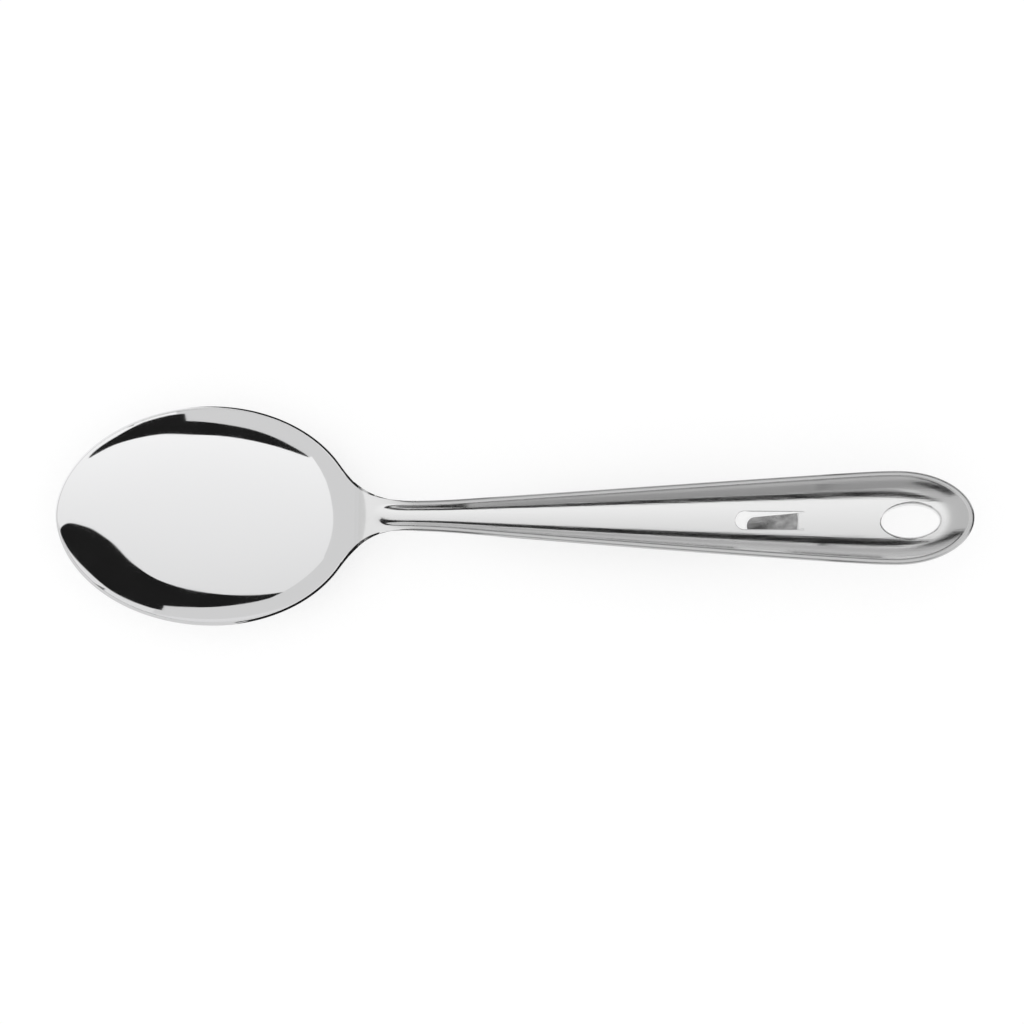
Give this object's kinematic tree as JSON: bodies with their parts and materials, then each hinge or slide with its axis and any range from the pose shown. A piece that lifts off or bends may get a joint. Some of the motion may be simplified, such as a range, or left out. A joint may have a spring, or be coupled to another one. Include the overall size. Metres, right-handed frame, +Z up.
{
  "type": "serving spoon",
  "caption": "Stainless serving spoon with a polished oval bowl, a narrow neck and a long satin handle: a dished channel between rolled lips, with a hanging hole and a bent-down rest tongue.",
  "frame": {"origin": "middle of the underside of the whole spoon's box, on the table that it lies on", "axes": "+X from the bowl to the end of the handle, +Y to the left seen from the bowl along the handle, +Z up"},
  "size_m": [0.31, 0.0754, 0.0215],
  "materials": {
    "polished_steel": "mirror-polished stainless steel",
    "satin_steel": "satin stainless steel, brushed along the handle",
    "weld_steel": "weld dressed flush and polished over"
  },
  "bodies": {
    "root": {"bowl": "polished_steel", "handle": "satin_steel", "neck_weld": "weld_steel"}
  },
  "joints": []
}
